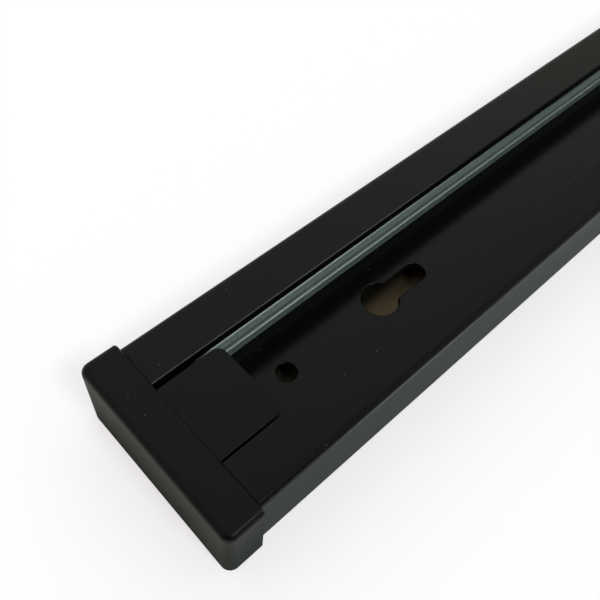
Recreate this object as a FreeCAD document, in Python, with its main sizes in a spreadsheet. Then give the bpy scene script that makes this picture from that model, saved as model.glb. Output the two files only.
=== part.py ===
import FreeCAD, Part
import Sketcher
import os
import re

document = FreeCAD.newDocument("LightingTrack")

# Driving dimensions, in millimetres.
sheet = document.addObject("Spreadsheet::Sheet", "Sizes")
sizes = {
    # channel extrusion
    "track_length": 1000,
    "track_width": 35.6,
    "track_height": 15.7,
    "wall_thickness": 1.6,
    "slot_width": 17.5,
    "lip_thickness": 1.8,
    "flange_thickness": 1.4,
    "lip_return_width": 0.7,
    "channel_depth": 9.85,
    "floor_thickness": 1.5,
    "outer_edge_radius": 1.3,
    "lip_edge_radius": 0.3,
    # fixing holes in the floor, measured from the ends of the extrusion
    "screw_hole_diameter": 3.8,
    "screw_hole_inset": 21.8,
    "keyhole_head_diameter": 7.5,
    "keyhole_slot_width": 4.2,
    "keyhole_travel": 10.1,
    "keyhole_inset": 46.4,
    "hole_edge_radius": 0.3,
    # formed conductor strips
    "conductor_thickness": 0.8,
    "contact_recess": 0.25,
    "contact_bottom": 0.25,
    "contact_height": 2.25,
    "shoulder_step": 0.65,
    "shoulder_rise": 0.1,
    "upper_leg_height": 3.25,
    "ridge_radius": 0.3,
    "strip_edge_radius": 0.25,
    "conductor_end_gap": 3,
    # extruded insulators
    "insulator_foot_recess": 0.2,
    "insulator_clearance": 0.1,
    "insulator_wall": 1.2,
    "insulator_end_gap": 0.5,
    # moulded end caps
    "cap_thickness": 7.4,
    "cap_overhang": 1.15,
    "cap_rise": 0.35,
    "cap_wall": 1.6,
    "cap_corner_radius": 1.9,
    "cap_edge_radius": 1.3,
    "cap_joint_gap": 0.1,
    "cap_joint_chamfer": 0.25,
    "tongue_length": 12.9,
    "tongue_wide_gap": 1.2,
    "tongue_narrow_gap": 0.3,
    "tongue_wall": 1.6,
    "tongue_corner_radius": 1.8,
    "tongue_edge_radius": 0.3,
    "tongue_floor_gap": 0.3,
}
for row, (name, value) in enumerate(sizes.items(), start=1):
    sheet.set(f"A{row}", name)
    sheet.set(f"B{row}", str(value))
    sheet.setAlias(f"B{row}", name)
document.recompute()


def bound(expression):
    # Every size named in the expression is read from the sheet.
    return re.sub("[a-z_]+", lambda word: f"Sizes.{word[0]}" if word[0] in sizes else word[0], expression)


def add_body(label):
    body = document.addObject("PartDesign::Body", label)
    body.Label = label
    return body


def add_sketch(body, name, plane, height=None):
    sketch = body.newObject("Sketcher::SketchObject", name)
    support = next(item for item in body.Origin.OriginFeatures if item.Role == plane)
    sketch.AttachmentSupport = [(support, "")]
    sketch.MapMode = "FlatFace"
    if height:
        sketch.setExpression("AttachmentOffset.Base.z", bound(height))
    return sketch


def fix(sketch, constraint, expression):
    number = sketch.addConstraint(constraint)
    sketch.setExpression(f"Constraints[{number}]", bound(expression))


def draw_outline(sketch, corners):
    # A closed outline of straight lines, each corner placed from the origin by two expressions.
    places = [[sketch.evalExpression(bound(size)) for size in corner] for corner in corners]
    points = [FreeCAD.Vector(*place) for place in places]
    lines = sketch.addGeometry([Part.LineSegment(*ends) for ends in zip(points, points[1:] + points[:1])])
    for line, following in zip(lines, lines[1:] + lines[:1]):
        sketch.addConstraint(Sketcher.Constraint("Coincident", line, 2, following, 1))
    for line, corner, place in zip(lines, corners, places):
        for kind, size, value in zip(("DistanceX", "DistanceY"), corner, place):
            fix(sketch, Sketcher.Constraint(kind, -1, 1, line, 1, value), size)


def draw_rectangle(sketch, left, right, bottom, top):
    draw_outline(sketch, [(left, bottom), (right, bottom), (right, top), (left, top)])


def pad(body, sketch, length, symmetric=False):
    feature = body.newObject("PartDesign::Pad", sketch.Name + "Pad")
    feature.Profile = sketch
    feature.setExpression("Length", bound(length))
    if symmetric:
        feature.SideType = "Symmetric"
    document.recompute()
    return feature


def pocket(body, sketch, length, reversed_side=False):
    before = body.Shape.Volume
    feature = body.newObject("PartDesign::Pocket", sketch.Name + "Pocket")
    feature.Profile = sketch
    feature.setExpression("Length", bound(length))
    feature.Reversed = reversed_side
    document.recompute()
    if body.Shape.Volume >= before:
        raise RuntimeError(f"{feature.Name} cuts nothing")
    return feature


def repeat_along_track(body, original, spacing):
    pattern = body.newObject("PartDesign::LinearPattern", original.Name + "Pair")
    pattern.Originals = [original]
    axis = next(item for item in body.Origin.OriginFeatures if item.Role == "X_Axis")
    pattern.Direction = (axis, [""])
    pattern.setExpression("Length", bound(spacing))
    pattern.Occurrences = 2
    body.Tip = pattern
    document.recompute()
    return pattern


def dress_edges(body, kind, name, dimension, size, wanted):
    base = body.Tip
    edges = [f"Edge{number}" for number, edge in enumerate(base.Shape.Edges, start=1) if wanted(edge)]
    feature = body.newObject(kind, name)
    feature.Base = (base, edges)
    feature.setExpression(dimension, bound(size))
    document.recompute()


def round_edges(body, name, radius, wanted):
    dress_edges(body, "PartDesign::Fillet", name, "Radius", radius, wanted)


def break_edges(body, name, width, wanted):
    dress_edges(body, "PartDesign::Chamfer", name, "Size", width, wanted)


# How far two places may differ and still count as one.
tolerance = 1e-4


def runs_along(edge, direction):
    # True for a straight edge parallel to the direction.
    if edge.Curve.TypeId != "Part::GeomLine":
        return False
    return edge.Curve.Direction.cross(direction).Length < tolerance


def near(value, expression):
    return abs(value - sheet.evalExpression(bound(expression))) < tolerance


along_track = FreeCAD.Vector(1, 0, 0)
upright = FreeCAD.Vector(0, 0, 1)

# Heights and half widths that several pieces share.
half_width = "track_width / 2"
half_slot = "slot_width / 2"
chamber_side = "track_width / 2 - wall_thickness"
floor_top = "( track_height - channel_depth )"
floor_bottom = "( track_height - channel_depth - floor_thickness )"
lip_bottom = "( track_height - lip_thickness )"
chamber_top = "( track_height - flange_thickness )"
return_side = "( slot_width / 2 + lip_return_width )"


def mirrored(chain):
    # The same corners on the other side of the middle plane, in the order that closes the outline.
    return [(f"-1 * ( {across} )", up) for across, up in reversed(chain)]


def make_track_body():
    body = add_body("track_body")
    section = add_sketch(body, "ChannelSection", "YZ_Plane")
    right_half = [
        (chamber_side, floor_bottom),
        (chamber_side, "0"),
        (half_width, "0"),
        (half_width, "track_height"),
        (half_slot, "track_height"),
        (half_slot, lip_bottom),
        (return_side, lip_bottom),
        (return_side, chamber_top),
        (chamber_side, chamber_top),
        (chamber_side, floor_top),
    ]
    draw_outline(section, right_half + mirrored(right_half))
    pad(body, section, "track_length", symmetric=True)

    def top_edge_at(side):
        def wanted(edge):
            place = edge.CenterOfMass
            on_side = near(abs(place.y), side)
            return runs_along(edge, along_track) and on_side and near(place.z, "track_height")
        return wanted

    round_edges(body, "OuterEdgeRounding", "outer_edge_radius", top_edge_at(half_width))
    round_edges(body, "LipEdgeRounding", "lip_edge_radius", top_edge_at(half_slot))

    screw_hole = add_sketch(body, "ScrewHole", "XY_Plane")
    circle = screw_hole.addGeometry(Part.Circle())
    screw_hole.addConstraint(Sketcher.Constraint("PointOnObject", circle, 3, -1))
    fix(screw_hole, Sketcher.Constraint("Radius", circle, 1), "screw_hole_diameter / 2")
    hole_place = "screw_hole_inset - track_length / 2"
    fix(screw_hole, Sketcher.Constraint("DistanceX", -1, 1, circle, 3, -1), hole_place)
    hole = pocket(body, screw_hole, "track_height", reversed_side=True)
    repeat_along_track(body, hole, "track_length - 2 * screw_hole_inset")

    keyhole = draw_keyhole(add_sketch(body, "Keyhole", "XY_Plane"))
    hole = pocket(body, keyhole, "track_height", reversed_side=True)
    repeat_along_track(body, hole, "track_length - 2 * keyhole_inset - keyhole_travel")

    def is_hole_rim(edge):
        place = edge.CenterOfMass
        on_outline = near(abs(place.x), "track_length / 2") or near(abs(place.y), chamber_side)
        return near(place.z, floor_top) and not on_outline

    round_edges(body, "HoleRimRounding", "hole_edge_radius", is_hole_rim)
    return body


def draw_keyhole(sketch):
    # A round head for the screw to pass, and a slot away from it for the shank to slide along.
    head_radius = sketch.evalExpression(bound("keyhole_head_diameter / 2"))
    slot_half = sketch.evalExpression(bound("keyhole_slot_width / 2"))
    head_place = "keyhole_inset - track_length / 2"
    head_x = sketch.evalExpression(bound(head_place))
    end_x = head_x + sketch.evalExpression(bound("keyhole_travel"))
    mouth_x = head_x + (head_radius ** 2 - slot_half ** 2) ** 0.5
    points = {
        "head_left": FreeCAD.Vector(mouth_x, slot_half),
        "head_right": FreeCAD.Vector(mouth_x, -slot_half),
        "end_left": FreeCAD.Vector(end_x, slot_half),
        "end_right": FreeCAD.Vector(end_x, -slot_half),
    }
    head, right, end, left = sketch.addGeometry([
        Part.Arc(points["head_left"], FreeCAD.Vector(head_x - head_radius, 0), points["head_right"]),
        Part.LineSegment(points["head_right"], points["end_right"]),
        Part.Arc(points["end_right"], FreeCAD.Vector(end_x + slot_half, 0), points["end_left"]),
        Part.LineSegment(points["end_left"], points["head_left"]),
    ])
    sketch.addConstraint([
        Sketcher.Constraint("Coincident", head, 1, left, 2),
        Sketcher.Constraint("Coincident", head, 2, right, 1),
        Sketcher.Constraint("Tangent", right, 2, end, 1),
        Sketcher.Constraint("Tangent", end, 2, left, 1),
        Sketcher.Constraint("Horizontal", right),
        Sketcher.Constraint("Horizontal", left),
        Sketcher.Constraint("PointOnObject", head, 3, -1),
        Sketcher.Constraint("PointOnObject", end, 3, -1),
    ])
    fix(sketch, Sketcher.Constraint("Radius", head, head_radius), "keyhole_head_diameter / 2")
    fix(sketch, Sketcher.Constraint("Radius", end, slot_half), "keyhole_slot_width / 2")
    fix(sketch, Sketcher.Constraint("DistanceX", -1, 1, head, 3, head_x), head_place)
    fix(sketch, Sketcher.Constraint("DistanceX", head, 3, end, 3, end_x - head_x), "keyhole_travel")
    return sketch


# Corners of the formed conductor strip, from its lower edge to its upper edge, front and back.
# The back corners drop behind the front ones so that the strip keeps its thickness through the bend.
contact_face = "( slot_width / 2 + contact_recess )"
upper_face = f"( {contact_face} + shoulder_step )"
strip_bottom = f"( {floor_top} + contact_bottom )"
ridge_height = f"( {strip_bottom} + contact_height )"
crease_height = f"( {ridge_height} + shoulder_rise )"
strip_top = f"( {crease_height} + upper_leg_height )"
shoulder_length = "sqrt(shoulder_step ^ 2 + shoulder_rise ^ 2)"
back_drop = f"conductor_thickness * ( {shoulder_length} - shoulder_rise ) / shoulder_step"
strip_front = [
    (contact_face, strip_bottom),
    (contact_face, ridge_height),
    (upper_face, crease_height),
    (upper_face, strip_top),
]
strip_back = [
    (f"{contact_face} + conductor_thickness", strip_bottom),
    (f"{contact_face} + conductor_thickness", f"{ridge_height} - {back_drop}"),
    (f"{upper_face} + conductor_thickness", f"{crease_height} - {back_drop}"),
    (f"{upper_face} + conductor_thickness", strip_top),
]


def make_conductor(label):
    body = add_body(label)
    section = add_sketch(body, "StripSection", "YZ_Plane")
    draw_outline(section, strip_front + strip_back[::-1])
    pad(body, section, "track_length - 2 * conductor_end_gap", symmetric=True)

    def front_edge_at(side, height):
        def wanted(edge):
            place = edge.CenterOfMass
            return runs_along(edge, along_track) and near(place.y, side) and near(place.z, height)
        return wanted

    round_edges(body, "RidgeRounding", "ridge_radius", front_edge_at(contact_face, ridge_height))
    round_edges(body, "TopRounding", "strip_edge_radius", front_edge_at(upper_face, strip_top))
    return body


def make_insulator(label):
    body = add_body(label)
    section = add_sketch(body, "InsulatorSection", "YZ_Plane")
    foot_face = f"{contact_face} + insulator_foot_recess"
    outer_face = f"{chamber_side} - insulator_clearance"
    top_face = f"{chamber_top} - insulator_clearance"
    draw_outline(section, [
        (foot_face, floor_top),
        (foot_face, strip_bottom),
        *strip_back,
        (upper_face, strip_top),
        (upper_face, top_face),
        (outer_face, top_face),
        (outer_face, floor_top),
    ])
    # A hollow runs through the strip, as in an extruded plastic profile.
    draw_rectangle(
        section,
        f"{upper_face} + conductor_thickness + insulator_wall",
        f"{outer_face} - insulator_wall",
        f"{floor_top} + insulator_wall",
        f"{top_face} - insulator_wall",
    )
    pad(body, section, "track_length - 2 * insulator_end_gap", symmetric=True)
    return body


def make_end_cap(label):
    # The cap is made about the track's end: the block lies on the -X side, the tongue on +X.
    body = add_body(label)
    joint_face = "-1 * cap_joint_gap"
    cap_side = "track_width / 2 + cap_overhang"
    cap_top = "track_height + cap_rise"
    inner_wall = "( cap_wall - cap_thickness )"
    block = add_sketch(body, "Block", "XY_Plane")
    draw_rectangle(block, "-1 * cap_thickness", joint_face, f"-1 * ( {cap_side} )", cap_side)
    pad(body, block, cap_top)

    def is_outer_corner(edge):
        return runs_along(edge, upright) and near(edge.CenterOfMass.x, "-1 * cap_thickness")

    def is_top_rim(edge):
        place = edge.CenterOfMass
        return near(place.z, cap_top) and not near(place.x, joint_face)

    def is_joint_rim(edge):
        place = edge.CenterOfMass
        return near(place.x, joint_face) and not near(place.z, "0")

    round_edges(body, "CornerRounding", "cap_corner_radius", is_outer_corner)
    round_edges(body, "RimRounding", "cap_edge_radius", is_top_rim)
    break_edges(body, "JointChamfer", "cap_joint_chamfer", is_joint_rim)

    hollow = add_sketch(body, "Hollow", "YZ_Plane")
    hollow_side = f"{cap_side} - cap_wall"
    draw_rectangle(hollow, f"-1 * ( {hollow_side} )", hollow_side, "cap_wall", f"{cap_top} - cap_wall")
    pocket(body, hollow, "cap_thickness - cap_wall")

    # The plug tongue lies against one lip of the slot and leaves a wider gap at the other.
    tongue_bottom = f"( {floor_top} + tongue_floor_gap )"
    tongue_near = f"tongue_narrow_gap - {half_slot}"
    tongue_far = f"{half_slot} - tongue_wide_gap"
    tongue = add_sketch(body, "Tongue", "XY_Plane", tongue_bottom)
    draw_rectangle(tongue, inner_wall, "tongue_length", tongue_near, tongue_far)
    pad(body, tongue, f"track_height - {tongue_bottom}")

    def is_tip_corner(edge):
        return runs_along(edge, upright) and near(edge.CenterOfMass.x, "tongue_length")

    def is_tongue_rim(edge):
        place = edge.CenterOfMass
        return near(place.z, "track_height") and place.x > tolerance

    round_edges(body, "TipRounding", "tongue_corner_radius", is_tip_corner)
    round_edges(body, "TongueRimRounding", "tongue_edge_radius", is_tongue_rim)

    trough = add_sketch(body, "Trough", "XY_Plane", tongue_bottom)
    draw_rectangle(
        trough,
        inner_wall,
        "tongue_length - tongue_wall",
        f"{tongue_near} + tongue_wall",
        f"{tongue_far} - tongue_wall",
    )
    pocket(body, trough, f"track_height - {tongue_bottom} - tongue_wall", reversed_side=True)
    return body


def turn_round(body):
    body.Placement.Rotation = FreeCAD.Rotation(upright, 180)


pieces = [make_track_body()]
for make, left, right in (
    (make_insulator, "insulator_left", "insulator_right"),
    (make_conductor, "conductor_left", "conductor_right"),
    (make_end_cap, "end_cap_near", "end_cap_far"),
):
    first = make(left)
    second = make(right)
    turn_round(second)
    pieces += [first, second]

near_cap, far_cap = pieces[-2:]
near_cap.setExpression("Placement.Base.x", bound("-1 * track_length / 2"))
far_cap.setExpression("Placement.Base.x", bound("track_length / 2"))
document.recompute()

for item in document.Objects:
    if "Invalid" in item.State or "Error" in item.State:
        raise RuntimeError(f"{item.Label} did not build")
for piece in pieces:
    if piece.Shape.isNull() or not piece.Shape.isValid():
        raise RuntimeError(f"{piece.Label} has no valid shape")

os.makedirs("parts", exist_ok=True)
for piece in pieces:
    piece.Shape.exportStep(f"parts/{piece.Label}.step")
    box = piece.Shape.BoundBox
    print(
        piece.Label, len(piece.Shape.Solids), "solid, volume", round(piece.Shape.Volume, 1),
        "box", [round(v, 3) for v in (box.XMin, box.YMin, box.ZMin, box.XMax, box.YMax, box.ZMax)],
    )
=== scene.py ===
import bpy
import math
from mathutils import Matrix, Vector


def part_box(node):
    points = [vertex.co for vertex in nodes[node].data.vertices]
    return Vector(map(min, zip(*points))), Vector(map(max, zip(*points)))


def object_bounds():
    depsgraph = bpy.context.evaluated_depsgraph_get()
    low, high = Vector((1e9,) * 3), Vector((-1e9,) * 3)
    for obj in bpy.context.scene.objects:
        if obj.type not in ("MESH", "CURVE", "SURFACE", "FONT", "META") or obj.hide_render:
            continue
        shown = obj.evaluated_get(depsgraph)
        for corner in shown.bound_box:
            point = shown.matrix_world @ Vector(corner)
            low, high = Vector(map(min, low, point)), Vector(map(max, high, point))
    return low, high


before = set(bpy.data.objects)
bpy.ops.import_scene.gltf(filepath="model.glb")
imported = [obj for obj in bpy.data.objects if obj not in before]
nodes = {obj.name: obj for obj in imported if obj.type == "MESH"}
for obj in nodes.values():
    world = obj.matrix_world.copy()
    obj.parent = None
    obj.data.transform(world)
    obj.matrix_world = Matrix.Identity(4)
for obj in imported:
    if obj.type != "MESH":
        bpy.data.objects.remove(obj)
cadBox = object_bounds()
print("frame loaded")

trackLow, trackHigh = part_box("track_body")
nearEnd = Vector((trackLow.x, 0, trackHigh.z))  # top middle of the end that the camera sees


# camera at the photograph's viewing angle, measured from the near end of the track
cameraView = {
    "eye": (-0.024674, -0.042007, 0.103113),
    "aim": (0.029183, 0.005362, 0.0),
    "roll": 6.916,  # degrees
    "lens": 43.055,  # millimetres
    "nearest": 0.005,  # nothing closer than this is drawn
}

def addCamera(view):
    eye = nearEnd + Vector(view["eye"])
    aim = nearEnd + Vector(view["aim"])
    data = bpy.data.cameras.new("photoCamera")
    data.lens = view["lens"]
    data.clip_start = view["nearest"]
    camera = bpy.data.objects.new("photoCamera", data)
    bpy.context.scene.collection.objects.link(camera)
    turn = (aim - eye).to_track_quat("-Z", "Y").to_matrix().to_4x4()
    roll = Matrix.Rotation(math.radians(view["roll"]), 4, "Z")
    camera.matrix_world = Matrix.Translation(eye) @ turn @ roll
    bpy.context.scene.camera = camera

addCamera(cameraView)
print("camera placed")


# small helpers for the shader trees
noiseSpan = (0.3, 0.7)  # most of a noise texture's values lie in here
levelFrom = 0.8  # a face counts as level when its normal points up by at least this

def newFinish(name):
    material = bpy.data.materials.new(name)
    material.use_nodes = True
    tree = material.node_tree
    return material, tree, tree.nodes["Principled BSDF"]

def addNode(tree, kind, **settings):
    node = tree.nodes.new(kind)
    for name, value in settings.items():
        setattr(node, name, value)
    return node

def setInputs(node, values):
    for name, value in values.items():
        node.inputs[name].default_value = value

def plug(tree, value, socket):
    # a link where the value comes from a node, a plain setting where it is a number
    if isinstance(value, bpy.types.NodeSocket):
        tree.links.new(value, socket)
    else:
        socket.default_value = value

def calculate(tree, operation, first, second=0.0):
    node = addNode(tree, "ShaderNodeMath", operation=operation)
    plug(tree, first, node.inputs[0])
    plug(tree, second, node.inputs[1])
    return node.outputs["Value"]

def multiply(tree, product, *factors):
    for factor in factors:
        product = calculate(tree, "MULTIPLY", product, factor)
    return product

def objectPlace(tree):
    return addNode(tree, "ShaderNodeTexCoord").outputs["Object"]

def splitPlace(tree):
    split = addNode(tree, "ShaderNodeSeparateXYZ")
    tree.links.new(objectPlace(tree), split.inputs["Vector"])
    return split.outputs["X"], split.outputs["Y"], split.outputs["Z"]

def stretchedNoise(tree, stretch, detail=3):
    # noise in metres on the piece itself, squeezed along each axis by the stretch
    mapping = addNode(tree, "ShaderNodeMapping")
    noise = addNode(tree, "ShaderNodeTexNoise")
    mapping.inputs["Scale"].default_value = stretch
    setInputs(noise, {"Scale": 1.0, "Detail": detail})
    tree.links.new(objectPlace(tree), mapping.inputs["Vector"])
    tree.links.new(mapping.outputs["Vector"], noise.inputs["Vector"])
    return noise.outputs["Fac"]

def mapRange(tree, value, fromLow, fromHigh, toLow, toHigh, smooth=False):
    node = addNode(tree, "ShaderNodeMapRange")
    if smooth:
        node.interpolation_type = "SMOOTHSTEP"
    setInputs(node, {"From Min": fromLow, "From Max": fromHigh, "To Min": toLow, "To Max": toHigh})
    tree.links.new(value, node.inputs["Value"])
    return node.outputs["Result"]

def mixColors(tree, fac, first, second):
    # the Mix node keeps its color sockets after those for numbers and vectors
    node = addNode(tree, "ShaderNodeMix", data_type="RGBA")
    tree.links.new(fac, node.inputs[0])
    for socket, color in ((node.inputs[6], first), (node.inputs[7], second)):
        plug(tree, (*color, 1) if isinstance(color, tuple) else color, socket)
    return node.outputs[2]

def band(tree, value, middle, reach):
    # one in the middle of the band, fading to nothing at its reach
    away = calculate(tree, "ABSOLUTE", calculate(tree, "SUBTRACT", value, middle))
    return mapRange(tree, away, 0, reach, 1, 0, smooth=True)

def bumpNormal(tree, height, distance, strength, under=None):
    bump = addNode(tree, "ShaderNodeBump")
    setInputs(bump, {"Distance": distance, "Strength": strength})
    tree.links.new(height, bump.inputs["Height"])
    if under:
        tree.links.new(under, bump.inputs["Normal"])
    return bump.outputs["Normal"]

def facingUp(tree):
    surface = addNode(tree, "ShaderNodeNewGeometry")
    facing = addNode(tree, "ShaderNodeSeparateXYZ")
    tree.links.new(surface.outputs["True Normal"], facing.inputs["Vector"])
    return calculate(tree, "GREATER_THAN", facing.outputs["Z"], levelFrom)


# settled dust: a few pale specks on the faces that look up
dust = {
    "color": (0.17, 0.17, 0.165),
    "spacing": 0.0036,
    "keep": 0.92,
    "radius": 0.0001,
    "core": 0.6,  # share of the radius that is solid
}

def dustMask(tree, look):
    specks = addNode(tree, "ShaderNodeTexVoronoi", voronoi_dimensions="2D")
    specks.inputs["Scale"].default_value = 1 / look["spacing"]
    tree.links.new(objectPlace(tree), specks.inputs["Vector"])
    chance = addNode(tree, "ShaderNodeSeparateColor")
    tree.links.new(specks.outputs["Color"], chance.inputs["Color"])
    kept = calculate(tree, "GREATER_THAN", chance.outputs["Red"], look["keep"])
    size = look["radius"] / look["spacing"]
    dot = mapRange(tree, specks.outputs["Distance"], size * look["core"], size, 1, 0)
    return multiply(tree, kept, dot, facingUp(tree))


# satin black coat of the extrusion, with the faint lines that the die leaves along it, and painted
# highlight lines along two of its edges
# places along the track are measured from its middle toward both ends, here and on the strips
blackCoat = {
    "dark": (0.0026, 0.0028, 0.0028),
    "light": (0.0038, 0.0040, 0.0039),
    "specular": 0.17,
    "roughness": (0.17, 0.2),
    "dieLines": (3, 1400, 1400),
    "peel": (1500, 1500, 1500),
    "peelDetail": 2,
    "peelHeight": 0.00002,
    "peelStrength": 0.1,
    # a painted highlight along the left lip's edge, toward the ends
    "lipHighlightColor": (0.09, 0.093, 0.092),
    "lipHighlightSide": 0.00875,
    "lipHighlightWidth": (0.00013, 0.00026),  # painted highlight full within the first, none past the second
    "lipHighlightFrom": (0.41, 0.45),
    # a painted highlight along the outer edges, a little way in from the caps
    "edgeHighlightColor": (0.125, 0.138, 0.138),
    "edgeHighlightBand": (0.00093, 0.0003),  # middle and reach, down from the top
    "edgeHighlightSide": 0.0174,
    "edgeHighlightFrom": (0.442, 0.458),
    "edgeHighlightTo": (0.472, 0.492),
    "lean": (-0.0087, 0.0062, 0.00053),  # from, to, drop
    "dip": (0.0012, 0.0062, 0.00012),  # from, to, drop
}

def makeBlackCoat(look):
    material, tree, shader = newFinish("blackCoat")
    x, y, z = splitPlace(tree)
    along = calculate(tree, "ABSOLUTE", x)
    outward = calculate(tree, "ABSOLUTE", y)
    belowTop = calculate(tree, "SUBTRACT", trackHigh.z, z)
    lines = stretchedNoise(tree, look["dieLines"])
    peel = stretchedNoise(tree, look["peel"], look["peelDetail"])
    coat = mixColors(tree, lines, look["dark"], look["light"])
    # toward the ends a pale painted highlight runs along the left lip's edge, on that side only
    aside = calculate(tree, "ABSOLUTE", calculate(tree, "SUBTRACT", y, look["lipHighlightSide"]))
    fromEdge = calculate(tree, "MAXIMUM", aside, belowTop)
    lipHighlightMask = mapRange(tree, fromEdge, *look["lipHighlightWidth"], 1, 0)
    toEnd = mapRange(tree, along, *look["lipHighlightFrom"], 0, 1, smooth=True)
    coat = mixColors(tree, multiply(tree, lipHighlightMask, toEnd), coat, look["lipHighlightColor"])
    # a thin pale painted highlight runs along the outer edges, a little way in from the caps
    paintedHighlight = multiply(
        tree,
        band(tree, belowTop, *look["edgeHighlightBand"]),
        calculate(tree, "GREATER_THAN", outward, look["edgeHighlightSide"]),
        mapRange(tree, along, *look["edgeHighlightFrom"], 0, 1, smooth=True),
        mapRange(tree, along, *look["edgeHighlightTo"], 1, 0, smooth=True),
    )
    coat = mixColors(tree, paintedHighlight, coat, look["edgeHighlightColor"])
    coat = mixColors(tree, dustMask(tree, dust), coat, dust["color"])
    tree.links.new(coat, shader.inputs["Base Color"])
    tree.links.new(mapRange(tree, lines, *noiseSpan, *look["roughness"]), shader.inputs["Roughness"])
    # the channel's floor leans very slightly toward the left strip, and dips beside it
    start, end, drop = look["lean"]
    lean = mapRange(tree, y, start, end, 0, -drop)
    start, end, drop = look["dip"]
    dip = calculate(tree, "ADD", lean, mapRange(tree, y, start, end, 0, -drop, smooth=True))
    dipped = bumpNormal(tree, multiply(tree, dip, facingUp(tree)), 1, 1)
    peeled = bumpNormal(tree, peel, look["peelHeight"], look["peelStrength"], dipped)
    tree.links.new(peeled, shader.inputs["Normal"])
    shader.inputs["Specular IOR Level"].default_value = look["specular"]
    return material


# moulded black plastic of the end caps, with a fine spark-eroded grain
capPlastic = {
    "dark": (0.0028, 0.0030, 0.0029),
    "light": (0.0044, 0.0046, 0.0044),
    "specular": 0.165,
    "roughness": (0.33, 0.39),
    "grain": (3200, 3200, 3200),
    "grainDetail": 2,
    "grainHeight": 0.00002,
    "grainStrength": 0.12,
    "clouding": (90, 90, 90),
}

def makeCapPlastic(look):
    material, tree, shader = newFinish("capPlastic")
    grain = stretchedNoise(tree, look["grain"], look["grainDetail"])
    clouds = stretchedNoise(tree, look["clouding"])
    plastic = mixColors(tree, clouds, look["dark"], look["light"])
    plastic = mixColors(tree, dustMask(tree, dust), plastic, dust["color"])
    tree.links.new(plastic, shader.inputs["Base Color"])
    tree.links.new(mapRange(tree, grain, *noiseSpan, *look["roughness"]), shader.inputs["Roughness"])
    grained = bumpNormal(tree, grain, look["grainHeight"], look["grainStrength"])
    tree.links.new(grained, shader.inputs["Normal"])
    shader.inputs["Specular IOR Level"].default_value = look["specular"]
    return material


# dull plated conductor strip, burnished along its two front edges, with painted highlights on them
# and painted shade in its bend and along its top edge
platedStrip = {
    "lowerLeg": (0.275, 0.345, 0.34),
    "upperLeg": (0.5, 0.61, 0.61),
    "burnishAndHighlight": (0.83, 0.9, 0.91),
    "legJoin": (0.0084, 0.0088),
    "slant": 2.18,  # places across the strip's front are read along this slant of height to depth
    "ridge": (0.02809, 0.00046),  # middle, reach
    "ridgeHighlightFrom": (0.38, 0.46, 0.4),  # painted highlight: faint up to, bright from, share left where it is faint
    "ridgeShadeEnd": (0.475, 0.485, 0.6),  # painted shade by the tongues: bright up to, duller from, share left there
    "creaseShade": (0.0295, 0.0007, 0.36),  # painted shade in the bend: middle, reach, share of the tone left
    "topEdge": (0.0324, 0.0005, 0.45),  # middle, reach, share of the tone left by painted shade where it has no painted highlight
    # painted highlight on the top edge: none up to, full from
    "topHighlightFrom": (0.38, 0.47),
    "topEdgeFall": (0.0109, 0.01165, 0.00042),  # from, to, drop
    "shaded": (0.02, 0.025, 0.025),
    "shadedFrom": (0.4905, 0.492),
    "metallic": (0.12, 0.6),
    "roughness": (0.34, 0.42),
    "drawLines": (6, 2600, 2600),
    "mottle": (1500, 2600, 2600),
    "mottleDetail": 4,
    "mottleDepth": 0.55,
    "mottleHeight": 0.00001,
    "mottleStrength": 0.3,
}

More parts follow.
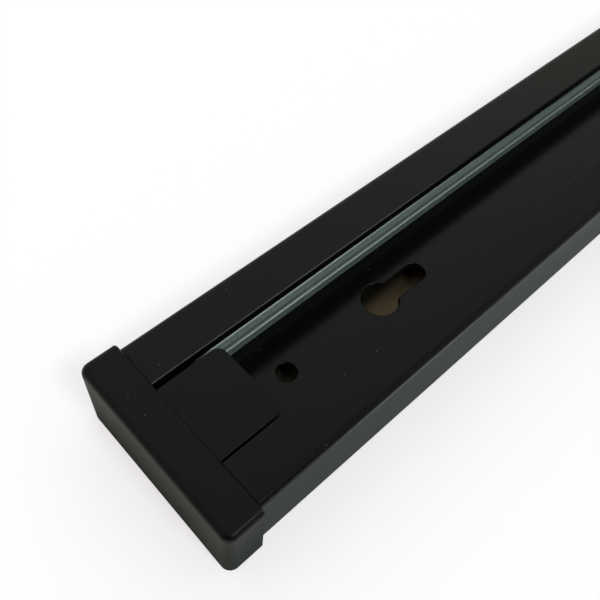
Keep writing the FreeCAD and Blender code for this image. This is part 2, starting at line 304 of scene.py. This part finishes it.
def makePlatedStrip(look):
    material, tree, shader = newFinish("platedStrip")
    x, y, z = splitPlace(tree)
    along = calculate(tree, "ABSOLUTE", x)
    across = calculate(tree, "ADD", z, multiply(tree, calculate(tree, "ABSOLUTE", y), look["slant"]))
    lines = stretchedNoise(tree, look["drawLines"])
    mottle = stretchedNoise(tree, look["mottle"], look["mottleDetail"])
    legs = mapRange(tree, z, *look["legJoin"], 0, 1, smooth=True)
    plating = mixColors(tree, legs, look["lowerLeg"], look["upperLeg"])
    # the front edges are burnished and painted bright toward the ends as a highlight; painted shade
    # darkens the bend between the legs, the top edge away from the ends and the ridge by the tongues
    start, full, faint = look["ridgeHighlightFrom"]
    paintedHighlight = mapRange(tree, along, start, full, faint, 1, smooth=True)
    start, full, kept = look["ridgeShadeEnd"]
    ridgeShade = mapRange(tree, along, start, full, 1, kept)
    ridge = multiply(tree, band(tree, across, *look["ridge"]), paintedHighlight, ridgeShade)
    middle, reach, topShadeKept = look["topEdge"]
    topEdge = band(tree, across, middle, reach)
    topHighlight = mapRange(tree, along, *look["topHighlightFrom"], 0, 1, smooth=True)
    topShade = multiply(tree, topEdge, calculate(tree, "SUBTRACT", 1.0, topHighlight))
    bright = calculate(tree, "MAXIMUM", ridge, multiply(tree, topEdge, topHighlight))
    middle, reach, creaseShadeKept = look["creaseShade"]
    tone = multiply(
        tree,
        mapRange(tree, mottle, *noiseSpan, look["mottleDepth"], 1),
        mapRange(tree, band(tree, across, middle, reach), 0, 1, 1, creaseShadeKept),
        mapRange(tree, topShade, 0, 1, 1, topShadeKept),
    )
    toned = addNode(tree, "ShaderNodeVectorMath", operation="SCALE")
    tree.links.new(plating, toned.inputs[0])
    tree.links.new(tone, toned.inputs["Scale"])
    plating = mixColors(tree, bright, toned.outputs["Vector"], look["burnishAndHighlight"])
    # the ends lie in the shade of the caps' tongues
    under = mapRange(tree, along, *look["shadedFrom"], 0, 1)
    tree.links.new(mixColors(tree, under, plating, look["shaded"]), shader.inputs["Base Color"])
    tree.links.new(mapRange(tree, bright, 0, 1, *look["metallic"]), shader.inputs["Metallic"])
    tree.links.new(mapRange(tree, lines, *noiseSpan, *look["roughness"]), shader.inputs["Roughness"])
    # the front falls away toward the top edge
    start, end, drop = look["topEdgeFall"]
    fall = multiply(tree, mapRange(tree, z, start, end, 0, -drop, smooth=True), topHighlight)
    rolled = bumpNormal(tree, fall, 1, 1)
    mottled = bumpNormal(tree, mottle, look["mottleHeight"], look["mottleStrength"], rolled)
    tree.links.new(mottled, shader.inputs["Normal"])
    return material


# black extruded plastic that carries the strips
insulatorPlastic = {
    "dark": (0.0015, 0.0015, 0.0015),
    "light": (0.003, 0.003, 0.003),
    "specular": 0.12,
    "roughness": (0.45, 0.6),
    "lines": (4, 900, 900),
}

def makeInsulatorPlastic(look):
    material, tree, shader = newFinish("insulatorPlastic")
    lines = stretchedNoise(tree, look["lines"])
    tree.links.new(mixColors(tree, lines, look["dark"], look["light"]), shader.inputs["Base Color"])
    tree.links.new(mapRange(tree, lines, *noiseSpan, *look["roughness"]), shader.inputs["Roughness"])
    shader.inputs["Specular IOR Level"].default_value = look["specular"]
    return material


def finishNodes(material, names):
    for name in names:
        mesh = nodes[name].data
        mesh.materials.clear()
        mesh.materials.append(material)

finishNodes(makeBlackCoat(blackCoat), ["track_body"])
finishNodes(makeCapPlastic(capPlastic), ["end_cap_near", "end_cap_far"])
finishNodes(makePlatedStrip(platedStrip), ["conductor_left", "conductor_right"])
finishNodes(makeInsulatorPlastic(insulatorPlastic), ["insulator_left", "insulator_right"])
print("finishes assigned")


# pale studio floor, white to the eye and in reflections except close round the track
floorLook = {
    "size": 12,
    "roughness": 0.9,
    "color": (0.585, 0.625, 0.605),
    "white": (0.648, 0.607, 0.633),
    "shaded": (0.27, 0.2, 0.125),
    "deepShade": (0.02, 0.017, 0.012),
    "deepFrom": (0.0005, 0.0042),  # across the track
    "beforeEnds": (0.525, 0.545, 0.475),
    "underneath": (-0.004, -0.0015),  # shaded up to, pale from, outward from the object's outline
    "shadeReach": (0.001, 0.0155),  # the same for what reflections show of the white
    "fade": (0.9, 4.5),  # from the middle of the floor
}

def addFloor(look):
    bpy.ops.object.select_all(action="DESELECT")
    bpy.ops.mesh.primitive_plane_add(size=look["size"])
    floor = bpy.context.object
    floor.name = "floor"
    material, tree, shader = newFinish("floorPaint")
    setInputs(shader, {"Roughness": look["roughness"], "Specular IOR Level": 0.0})
    shader.inputs["Emission Color"].default_value = (*look["white"], 1)
    # how far a point of the floor lies outside the object's own outline
    x, y = splitPlace(tree)[:2]
    corner = cadBox[1]
    pastEnd = calculate(tree, "SUBTRACT", calculate(tree, "ABSOLUTE", x), corner.x)
    pastSide = calculate(tree, "SUBTRACT", calculate(tree, "ABSOLUTE", y), corner.y)
    outside = calculate(tree, "MAXIMUM", pastEnd, pastSide)
    beside = mapRange(tree, outside, *look["underneath"], 0, 1)
    clear = mapRange(tree, outside, *look["shadeReach"], 0, 1, smooth=True)
    # the shade under the track is deepest under its left half
    deep = mapRange(tree, y, *look["deepFrom"], 0, 1, smooth=True)
    shade = mixColors(tree, deep, look["shaded"], look["deepShade"])
    color = mixColors(tree, beside, shade, look["color"])
    # what the caps' fronts mirror of the floor is warmer
    path = addNode(tree, "ShaderNodeLightPath")
    glossy = path.outputs["Is Glossy Ray"]
    warmed = multiply(tree, calculate(tree, "GREATER_THAN", pastEnd, 0.0), glossy)
    tree.links.new(mixColors(tree, warmed, color, look["beforeEnds"]), shader.inputs["Base Color"])
    # the eye sees white beside the track, and reflections show it from a little further out
    mirrored = calculate(tree, "MAXIMUM", glossy, path.outputs["Is Transmission Ray"])
    mirrored = multiply(tree, mirrored, clear)
    seen = multiply(tree, path.outputs["Is Camera Ray"], beside)
    white = calculate(tree, "MAXIMUM", seen, mirrored)
    # far off the white goes over into the grey of the surround
    distance = addNode(tree, "ShaderNodeVectorMath", operation="LENGTH")
    tree.links.new(objectPlace(tree), distance.inputs[0])
    near = mapRange(tree, distance.outputs["Value"], *look["fade"], 1, 0, smooth=True)
    tree.links.new(multiply(tree, white, near), shader.inputs["Emission Strength"])
    floor.data.materials.append(material)

addFloor(floorLook)
print("floor laid")


# soft studio surround: a pale sky, brighter over the left flange and darker toward the near right
surround = {
    "color": (0.93, 1.0, 0.975),
    "tints": [  # toward, from this cosine, to this cosine, color
        ((-1, 0, 0.2), 0.2, 0.8, (0.98, 0.96, 0.83)),
        ((1, 0, 0.35), 0.68, 0.9, (0.945, 1.0, 0.87)),
    ],
    "level": 0.52,
    "glows": [  # toward, from this cosine, to this cosine, added strength
        ((0.45, 0.6, 0.66), 0.82, 0.97, 0.36),
        ((0.04, -0.61, 0.79), 0.988, 0.996, 16),
        ((-0.5, 0.55, 0.66), 0.6, 0.95, 0.06),
    ],
    "shade": ((-0.53, -0.7, 0.48), 0.47, 0.85, 0.03),  # toward, from, to, share of the level left
    "horizon": (0.03, 0.15, 0.4),  # band up to this height, sky from this one, the band's strength
}

def addSurround(look):
    world = bpy.data.worlds.new("studio")
    world.use_nodes = True
    tree = world.node_tree
    background = tree.nodes["Background"]
    place = addNode(tree, "ShaderNodeTexCoord")

    def toward(direction):
        node = addNode(tree, "ShaderNodeVectorMath", operation="DOT_PRODUCT")
        node.inputs[1].default_value = Vector(direction).normalized()
        tree.links.new(place.outputs["Generated"], node.inputs[0])
        return node.outputs["Value"]

    level = look["level"]
    direction, start, full, kept = look["shade"]
    light = mapRange(tree, toward(direction), start, full, level, level * kept, smooth=True)
    for direction, start, full, added in look["glows"]:
        glow = mapRange(tree, toward(direction), start, full, 0, added, smooth=True)
        light = calculate(tree, "ADD", light, glow)
    # a pale band round the horizon
    low, high, strength = look["horizon"]
    above = mapRange(tree, toward((0, 0, 1)), low, high, 0, 1, smooth=True)
    horizon = multiply(tree, calculate(tree, "SUBTRACT", 1.0, above), strength)
    light = calculate(tree, "ADD", multiply(tree, light, above), horizon)
    tree.links.new(light, background.inputs["Strength"])
    color = look["color"]
    for direction, start, full, tint in look["tints"]:
        side = mapRange(tree, toward(direction), start, full, 0, 1, smooth=True)
        color = mixColors(tree, multiply(tree, side, above), color, tint)
    tree.links.new(color, background.inputs["Color"])
    bpy.context.scene.world = world

addSurround(surround)
bpy.context.scene.view_settings.view_transform = "Standard"
print("studio lit")
